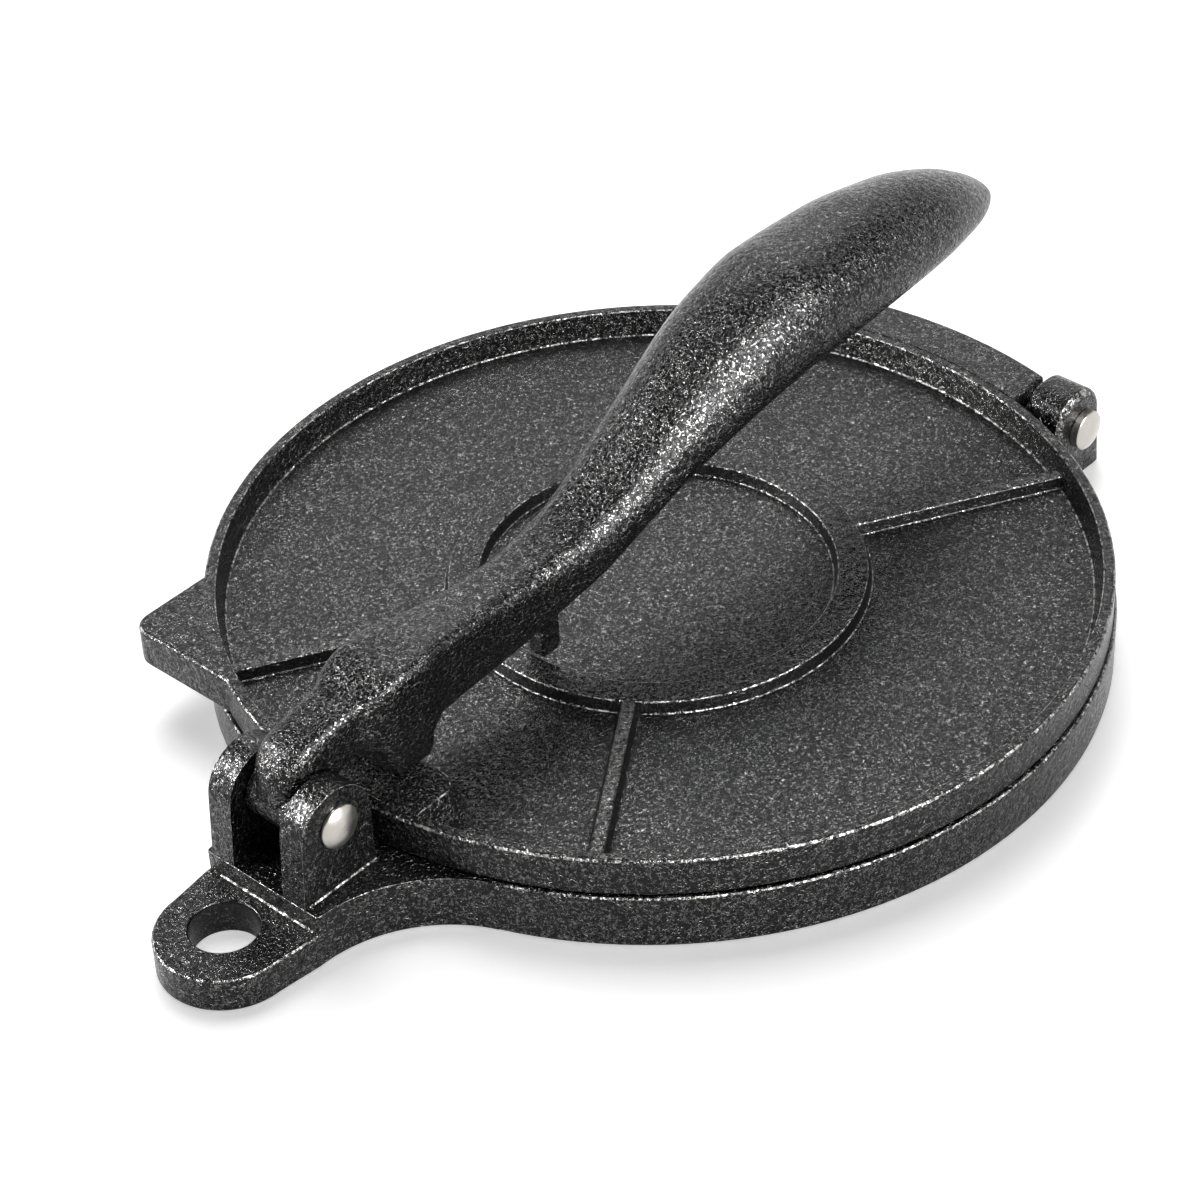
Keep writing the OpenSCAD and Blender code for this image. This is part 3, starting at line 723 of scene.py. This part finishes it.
def knot_curve(knots, x):
    """Smooth curve through knots that never overshoots between two of them."""
    slopes = [(b[1] - a[1]) / (b[0] - a[0]) for a, b in zip(knots, knots[1:])]
    at = next((i for i, knot in enumerate(knots[1:]) if x <= knot[0]), len(slopes) - 1)

    def tangent(i):
        if i == 0:
            return slopes[0]
        if i == len(slopes):
            return slopes[-1]
        product = slopes[i - 1] * slopes[i]
        return 0 if product <= 0 else 2 * product / (slopes[i - 1] + slopes[i])

    (x0, y0), (x1, y1) = knots[at], knots[at + 1]
    width = x1 - x0
    t = (x - x0) / width
    return (
        (2 * t**3 - 3 * t**2 + 1) * y0 + (t**3 - 2 * t**2 + t) * width * tangent(at)
        + (3 * t**2 - 2 * t**3) * y1 + (t**3 - t**2) * width * tangent(at + 1)
    )


def lever_point(x, angle):
    """A point of the lever's skin at one station and one angle round it."""
    top, crown = knot_curve(LEVER_TOP, x), knot_curve(LEVER_CROWN, x)
    middle = top - crown
    if x < NOSE_X:
        half = math.sqrt(NOSE_HALF_WIDTH**2 - min(NOSE_X - x, NOSE_HALF_WIDTH - 0.3) ** 2)
    else:
        half = knot_curve(LEVER_HALF_WIDTH, x)
    c, s = math.cos(angle), math.sin(angle)
    belly = middle - knot_curve(LEVER_UNDER, x)
    power = 2 / knot_curve(LEVER_SHOULDER if s >= 0 else LEVER_SQUARE, x)
    reach = crown if s >= 0 else -belly
    return Vector((x, half * math.copysign(abs(c) ** power, c), middle + reach * abs(s) ** power))


def lever_skin():
    """The lever's body: a tube of sections with rounded ends."""
    stations = [-123.2, -122.9, -122.2, -121.2, -119.8, -118.4]
    stations += [-117 + 0.8 * i for i in range(51)]
    stations += [-76 + 3 * i for i in range(61)]
    stations += [106, 109, 112, 114.5, 116.5, 118.2, 119.6, 120.7, 121.3, 121.6]
    points = 56
    shoulders = (points // 8, points * 3 // 8)
    fade_start, fade_length, most_wear_and_highlight = -50, 16, 0.95
    bm = bmesh.new()
    layer = bm.verts.layers.float.new("wear")
    bmesh.ops.create_grid(bm, x_segments=len(stations) - 1, y_segments=points, size=1)
    for vert in bm.verts:
        station = round((vert.co.x + 1) / 2 * (len(stations) - 1))
        step = round((vert.co.y + 1) / 2 * points)
        vert.co = lever_point(stations[station], math.tau * step / points)
        # Painted highlight line along both shoulders of the cam and shank, partly a rubbed-through
        # edge, fading out toward the grip.
        if step in shoulders:
            wear = (fade_start - stations[station]) / fade_length
            vert[layer] = min(most_wear_and_highlight, max(0, wear))
    bmesh.ops.remove_doubles(bm, verts=bm.verts, dist=0.003)
    ends = [e for e in bm.edges if e.is_boundary]
    bmesh.ops.holes_fill(bm, edges=ends, sides=0)
    bmesh.ops.recalc_face_normals(bm, faces=bm.faces)
    return bm


def lever_nub(sizes):
    """The nub under the lever that stops it on the ring."""
    s = sizes
    low, height = s.web_top + s.ring_height + s.nub_gap, 17
    back, front = -s.nub_x - 2.4, -s.nub_x + 3.4
    bm = box_shell((back, -s.nub_half, low), (front, s.nub_half, low + height))
    soften(bm, 1.9, lambda m, a, b: m.z < low + TOUCH and m.x > front - 2.4, segments=5, wear=0)
    soften(bm, 0.6, lambda m, a, b: m.z < low + height - 1, wear=0.4)
    return bm


def rivet_head(radius, drum, crown):
    """A domed head on Z, from its seat at zero."""
    ball = (radius**2 + crown**2) / (2 * crown)
    turn = math.degrees(math.asin(radius / ball))
    pen = Pen(0, 0).to((radius, 0), (radius, drum)).arc(0, drum + crown - ball, turn, 14)
    bm = pen.turned(64)
    soften(bm, 0.2, lambda m, a, b: abs(m.xy.length - radius) < TOUCH, wear=0)
    return bm


def headed(sizes, x, z, reach, tail, radius, drum, crown, cap):
    """A pin along Y with its head at the near side, or the cap on its far end."""
    casting = Casting()
    head = rivet_head(radius, drum, crown)
    turn = Matrix.Rotation(-math.pi / 2 if cap else math.pi / 2, 3, "X")
    bmesh.ops.rotate(head, cent=(0, 0, 0), matrix=turn, verts=head.verts)
    bmesh.ops.translate(head, vec=(x, reach if cap else -reach, z), verts=head.verts)
    casting.add(head)
    if not cap:
        casting.add(rod(x, z, sizes.pin_radius, -reach - 0.2, reach + tail, 48))
    return casting


# Shader building


class Value:
    """A number socket of a shader that takes part in arithmetic."""

    def __init__(self, shader, socket):
        self.shader, self.socket = shader, socket

    def _math(self, operation, *values):
        return self.shader.add("ShaderNodeMath", {"operation": operation}, *values)

    def __add__(self, other):
        return self._math("ADD", self, other)

    def __sub__(self, other):
        return self._math("SUBTRACT", self, other)

    def __mul__(self, other):
        return self._math("MULTIPLY", self, other)

    def __rsub__(self, other):
        return self._math("SUBTRACT", other, self)

    __radd__ = __add__

    def __abs__(self):
        return self._math("ABSOLUTE", self)

    def most(self, other):
        return self._math("MAXIMUM", self, other)

    def between(self, low, high):
        """0 below low, 1 above high, smooth in between."""
        settings = {"interpolation_type": "SMOOTHSTEP"}
        return self.shader.add("ShaderNodeMapRange", settings, self, low, high, 0.0, 1.0)


class Shader:
    """The nodes of one material or world."""

    def __init__(self, tree):
        self.tree = tree
        tree.nodes.clear()

    def add(self, kind, settings=None, *values, output=0, **named):
        """One node: its settings first, then its inputs in order or by name."""
        node = self.tree.nodes.new(kind)
        for name, value in (settings or {}).items():
            setattr(node, name, value)
        inputs = list(zip([s for s in node.inputs if s.enabled], values))
        inputs += [(node.inputs[name.replace("_", " ")], value) for name, value in named.items()]
        for socket, value in inputs:
            if isinstance(value, Value):
                self.tree.links.new(value.socket, socket)
            elif value is not None:
                socket.default_value = value
        outputs = [s for s in node.outputs if s.enabled]
        chosen = node.outputs[output] if isinstance(output, str) else outputs[output]
        return Value(self, chosen)

    def finish(self, surface, kind="ShaderNodeOutputMaterial"):
        """Ends the tree in its output."""
        out = self.tree.nodes.new(kind)
        self.tree.links.new(surface.socket, out.inputs["Surface"])

    def blend(self, factor, first, second):
        """A colour between two colours."""
        settings = {"data_type": "RGBA", "blend_type": "MIX"}
        return self.add("ShaderNodeMix", settings, factor, first, second)

    def noise(self, place, size, detail=2.0, roughness=0.5, distortion=0.0):
        """Cloudy noise whose lumps are about this size."""
        return self.add(
            "ShaderNodeTexNoise", {"noise_dimensions": "3D"}, place, Scale=1.0 / size,
            Detail=detail, Roughness=roughness, Distortion=distortion,
        )


def opaque(rgb):
    return (*rgb, 1.0)


def iron_material(name, finish, grain, depth, fleck_share, gloss):
    """Seasoned cast iron: near black, wrinkled, with light flecks, and edges lightened partly as
    rubbed-through finish, partly as painted highlight.
    """
    material = bpy.data.materials.new(name)
    material.use_nodes = True
    sh = Shader(material.node_tree)
    place = sh.add("ShaderNodeTexCoord", output="Object")
    worn_and_highlight = sh.add("ShaderNodeAttribute", {"attribute_name": "wear"}, output="Fac")
    curls = sh.noise(place, grain, detail=0.6, roughness=0.4, distortion=1.1)
    ridges = (1 - abs(curls * 2 - 1) * 8.0).most(0)
    gaps = sh.noise(place, grain * 1.3, detail=1.0)
    flecks = ridges * gaps.between(0.4, 0.52)
    lumps = sh.noise(place, grain * 2.2, detail=0.5)
    sway = sh.noise(place, 0.018, detail=2.0)
    height = ridges * 0.12 + curls + lumps * 0.9
    bump = sh.add("ShaderNodeBump", None, Strength=1.0, Distance=depth, Height=height)
    broken = sh.noise(place, 0.0014, detail=3.0, roughness=0.7)
    # The edge mask moves edges and creases toward the edge colour: partly rubbed-through finish,
    # partly painted highlight along edges and in fillets.
    bare_and_highlight = worn_and_highlight.between(0.8, 1.0) * broken.between(0.42, 0.6)
    shade = sh.blend(flecks, opaque(finish.iron), opaque([c * fleck_share for c in finish.fleck]))
    shade = sh.blend(bare_and_highlight, shade, opaque(finish.worn_and_highlight))
    rough = gloss + sway * 0.1 - flecks * 0.08 + bare_and_highlight * 0.1
    surface = sh.add(
        "ShaderNodeBsdfPrincipled", None, Base_Color=shade, Roughness=rough, Normal=bump,
        Metallic=flecks.between(0.0, 0.15).most(bare_and_highlight * 0.4), Specular_IOR_Level=0.18,
    )
    sh.finish(surface)
    return material


def nickel_material(finish):
    """Satin nickel with a faint tumbled grain."""
    material = bpy.data.materials.new("satin_nickel")
    material.use_nodes = True
    sh = Shader(material.node_tree)
    place = sh.add("ShaderNodeTexCoord", output="Object")
    cloud = sh.noise(place, 0.004, detail=3.0)
    grain = sh.noise(place, 0.0002, detail=2.0)
    shade = sh.blend(cloud.between(0.35, 0.7) * 0.35, opaque(finish.nickel),
                     opaque([c * 0.75 for c in finish.nickel]))
    bump = sh.add("ShaderNodeBump", None, Strength=0.15, Distance=0.00002, Height=grain)
    surface = sh.add(
        "ShaderNodeBsdfPrincipled", None, Base_Color=shade, Roughness=0.22 + cloud * 0.14,
        Metallic=1.0, Normal=bump,
    )
    sh.finish(surface)
    return material


def iron_materials(finish):
    """The body, dish and smooth wall finishes, made once."""
    recipes = (
        ("seasoned_iron_body", finish.body_grain, finish.body_depth, 0.5, 0.16),
        ("seasoned_iron_dish", finish.floor_grain, finish.floor_depth, 0.6, 0.18),
        # The wall finish's low fleck share darkens upright walls as painted shade; its shallower
        # wrinkles are smoothness.
        ("seasoned_iron_wall", finish.body_grain, finish.wall_depth, 0.2, 0.24),
    )
    made = bpy.data.materials
    return [made.get(name) or iron_material(name, finish, *recipe) for name, *recipe in recipes]


# Operators


class PRESS_OT_base(bpy.types.Operator):
    """Build the base casting with its tail, ears and hinge ears"""

    bl_idname = "press.base"
    bl_label = "Base Casting"

    def execute(self, context):
        s = in_mm(context.scene.press_sizes)
        casting = Casting()
        casting.add(base_disc(s), *tail_shells(s))
        for make in (lever_ear, ear_bead, hinge_ear, hinge_foot):
            casting.add(*both_sides(lambda: make(s)))
        bridge = box_shell(
            (s.hinge_x + 1.6, -s.hinge_inner - 1, 0),
            (s.hinge_x + 8, s.hinge_inner + 1, s.bridge_top),
        )
        casting.add(soften(bridge, 0.6, wear=0.3))
        inner, outer = s.ring_outer - 1, s.wall_inner - 0.6
        casting.add(*ribs(s, inner, outer, s.base_web, s.base_rib_height - 0.02, -1))
        iron = iron_materials(context.scene.press_finish)
        casting.piece("base_casting", s.centre_x, iron, "base", "base_plate", "casting")
        return {"FINISHED"}


class PRESS_OT_upper(bpy.types.Operator):
    """Build the upper casting with its rim, ring, ribs, pad, tab and tongue"""

    bl_idname = "press.upper"
    bl_label = "Upper Casting"

    def execute(self, context):
        s = in_mm(context.scene.press_sizes)
        casting = Casting()
        casting.add(upper_disc(s), lifting_tab(s), cam_pad(s), *tongue(s))
        inner, outer, height = s.ring_outer - 1, s.upper_radius - s.rim_width, s.ring_height - 0.02
        casting.add(*ribs(s, inner, outer, s.web_top, height, 1, NEAR_RIB_ANGLE))
        iron = iron_materials(context.scene.press_finish)
        casting.piece("upper_casting", s.centre_x, iron, "upper", "upper_plate", "casting")
        return {"FINISHED"}


class PRESS_OT_lever(bpy.types.Operator):
    """Build the lever casting with its grip, cam, boss and nub"""

    bl_idname = "press.lever"
    bl_label = "Lever Casting"

    def execute(self, context):
        s = in_mm(context.scene.press_sizes)
        casting = Casting()
        boss = rod(-s.lever_pin_x, s.lever_pin_z, s.boss_radius, -6.9, 6.9)
        casting.add(lever_skin(), soften(boss, 0.7), lever_nub(s))
        iron = iron_materials(context.scene.press_finish)
        casting.piece("lever_casting", s.centre_x, iron, "lever", "press_lever", "casting")
        return {"FINISHED"}


class PRESS_OT_rivets(bpy.types.Operator):
    """Build both pins with their domed heads and caps"""

    bl_idname = "press.rivets"
    bl_label = "Rivets"

    def execute(self, context):
        s = in_mm(context.scene.press_sizes)
        nickel = nickel_material(context.scene.press_finish)
        ear = s.ear_gap / 2 + s.ear_thickness + 0.05
        knuckle = s.hinge_outer + 0.05
        places = (
            ("lever", -s.lever_pin_x, s.lever_pin_z, ear, s.lever_head, 0.7, 1.4, 2.0),
            ("hinge", s.hinge_x, s.hinge_z, knuckle, s.hinge_head, 2.0, 2.0, 1.0),
        )
        for name, x, z, reach, radius, head_drum, cap_drum, crown in places:
            pin = headed(s, x, z, reach, 1.8, radius, head_drum, crown, False)
            pin.piece(f"{name}_rivet", s.centre_x, [nickel], "base", f"{name}_pin", "pin_steel")
            cap = headed(s, x, z, reach, 1.8, radius, cap_drum, crown, True)
            cap.piece(
                f"{name}_rivet_cap", s.centre_x, [nickel], "base", f"{name}_pin_cap", "pin_steel"
            )
        return {"FINISHED"}


def towards(azimuth, elevation):
    """The direction of an azimuth and elevation in degrees; azimuth 0 is the press's -Y side."""
    azimuth, elevation = math.radians(azimuth), math.radians(elevation)
    flat = math.cos(elevation)
    return Vector((math.sin(azimuth) * flat, -math.cos(azimuth) * flat, math.sin(elevation)))


def softbox(name, centre, azimuth, elevation, distance, size, power, diffuse=True, gloss=True):
    """A rectangular area light that faces the press; a card shows only in the gloss."""
    light = bpy.data.lights.new(name, "AREA")
    light.shape = "RECTANGLE"
    light.size, light.size_y = size
    light.energy = power
    lamp = bpy.data.objects.new(name, light)
    way = towards(azimuth, elevation)
    lamp.location = centre + way * distance
    lamp.rotation_mode = "QUATERNION"
    lamp.rotation_quaternion = way.to_track_quat("Z", "Y")
    lamp.visible_diffuse, lamp.visible_glossy = diffuse, gloss
    bpy.context.scene.collection.objects.link(lamp)


def studio_camera(centre_x, image_size):
    """The camera, from its measured orbit, turn and focal length."""
    azimuth, elevation, distance = -47.8, 38.7282, 0.816087
    pan, tilt, roll = (math.radians(a) for a in (0.967, 0.59, -2.133))
    focal_pixels = 3501.726
    back = towards(azimuth, elevation)
    right = Vector((math.cos(math.radians(azimuth)), math.sin(math.radians(azimuth)), 0))
    up = back.cross(right)
    place = back * distance + Vector((centre_x, 0, 0))
    turn = Matrix.Rotation(pan, 3, up)
    right, back = turn @ right, turn @ back
    turn = Matrix.Rotation(tilt, 3, right)
    up, back = turn @ up, turn @ back
    turn = Matrix.Rotation(roll, 3, back)
    right, up = turn @ right, turn @ up
    data = bpy.data.cameras.new("studio_camera")
    data.sensor_width = 36.0
    data.lens = focal_pixels * 36.0 / image_size
    data.clip_start, data.clip_end = 0.05, 20.0
    camera = bpy.data.objects.new("studio_camera", data)
    axes = Matrix((right, up, back)).transposed().to_4x4()
    camera.matrix_world = Matrix.Translation(place) @ axes
    bpy.context.scene.collection.objects.link(camera)
    bpy.context.scene.camera = camera


def seen_directly(sh):
    """1 for camera, glossy and transmission rays, 0 for the rest."""
    rays = sh.tree.nodes.new("ShaderNodeLightPath")
    kinds = ("Is Camera Ray", "Is Glossy Ray", "Is Transmission Ray")
    camera, glossy, transmission = (Value(sh, rays.outputs[kind]) for kind in kinds)
    return camera.most(glossy).most(transmission)


def studio_paper(setup):
    """White paper that glows for the camera, and is full white away from the press."""
    material = bpy.data.materials.new("studio_paper")
    material.use_nodes = True
    sh = Shader(material.node_tree)
    place = sh.add("ShaderNodeTexCoord", output="Object")
    away = sh.add("ShaderNodeVectorMath", {"operation": "LENGTH"}, place, output="Value")
    lift = setup.floor_lift + away.between(0.3, 1.1) * (1.0 - setup.floor_lift)
    paper = sh.add("ShaderNodeBsdfDiffuse", None, Color=opaque(setup.floor))
    glow = sh.add(
        "ShaderNodeEmission", None, Color=(1, 1, 1, 1), Strength=lift * seen_directly(sh)
    )
    sh.finish(sh.add("ShaderNodeAddShader", None, paper, glow))
    return material


def studio_sweep(setup):
    """The round floor that curves up into the backdrop."""
    pen = Pen(0, 0).to((setup.radius - setup.curve, 0))
    pen.arc(setup.radius - setup.curve, setup.curve, 90, 24)
    pen.to((setup.radius, setup.wall))
    bm = pen.turned(96)
    bmesh.ops.reverse_faces(bm, faces=[f for f in bm.faces if f.normal.z < -0.01])
    for face in bm.faces:
        face.smooth = True
    mesh = bpy.data.meshes.new("studio_sweep")
    bm.to_mesh(mesh)
    bm.free()
    mesh.materials.append(studio_paper(setup))
    sweep = bpy.data.objects.new("studio_sweep", mesh)
    bpy.context.scene.collection.objects.link(sweep)


def studio_world(ambient):
    """Even white light from all round."""
    world = bpy.data.worlds.new("studio_world")
    world.use_nodes = True
    bpy.context.scene.world = world
    sh = Shader(world.node_tree)
    sky = sh.add("ShaderNodeBackground", None, Color=(1, 1, 1, 1), Strength=ambient)
    sh.finish(sky, "ShaderNodeOutputWorld")


class PRESS_OT_stage(bpy.types.Operator):
    """Build the floor, backdrop, lights and camera"""

    bl_idname = "press.stage"
    bl_label = "Stage"

    def execute(self, context):
        setup = context.scene.press_stage
        studio_sweep(setup)
        studio_world(setup.ambient)
        centre = Vector((0.017, 0, 0.03))
        softbox(
            "overhead_softbox", centre, 146, 62, 1.6, (1.1, 1.1), setup.overhead_power, gloss=False
        )
        softbox("rear_softbox", centre, 133, 41, 1.5, (0.8, 0.5), setup.rear_power)
        softbox("front_card", centre, -2, 46, 1.0, (0.55, 0.8), setup.front_power, diffuse=False)
        softbox("left_card", centre, -136, 32, 1.0, (0.34, 0.34), setup.left_power, diffuse=False)
        studio_camera(context.scene.press_sizes.centre_x, setup.image_size)
        context.scene.view_settings.view_transform = "Standard"
        return {"FINISHED"}


class PRESS_PT_panel(bpy.types.Panel):
    """Buttons and sizes of the tortilla press"""

    bl_idname = "PRESS_PT_panel"
    bl_label = "Tortilla Press"
    bl_space_type = "VIEW_3D"
    bl_region_type = "UI"
    bl_category = "Tortilla Press"

    def draw(self, context):
        layout = self.layout
        for operator in STEPS:
            layout.operator(operator.bl_idname)
        for group in (
            context.scene.press_sizes, context.scene.press_finish, context.scene.press_stage
        ):
            box = layout.box()
            for name in group.__annotations__:
                box.prop(group, name)


STEPS = (PRESS_OT_base, PRESS_OT_upper, PRESS_OT_lever, PRESS_OT_rivets, PRESS_OT_stage)
CLASSES = (PressSizes, PressFinish, StageSetup, *STEPS, PRESS_PT_panel)


def register():
    for cls in CLASSES:
        bpy.utils.register_class(cls)
    bpy.types.Scene.press_sizes = PointerProperty(type=PressSizes)
    bpy.types.Scene.press_finish = PointerProperty(type=PressFinish)
    bpy.types.Scene.press_stage = PointerProperty(type=StageSetup)


def unregister():
    for name in ("press_sizes", "press_finish", "press_stage"):
        delattr(bpy.types.Scene, name)
    for cls in reversed(CLASSES):
        bpy.utils.unregister_class(cls)


def main():
    """Registers the add-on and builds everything."""
    register()
    bpy.ops.press.base()
    bpy.ops.press.upper()
    bpy.ops.press.lever()
    bpy.ops.press.rivets()
    bpy.ops.press.stage()


if __name__ == "__main__":
    main()
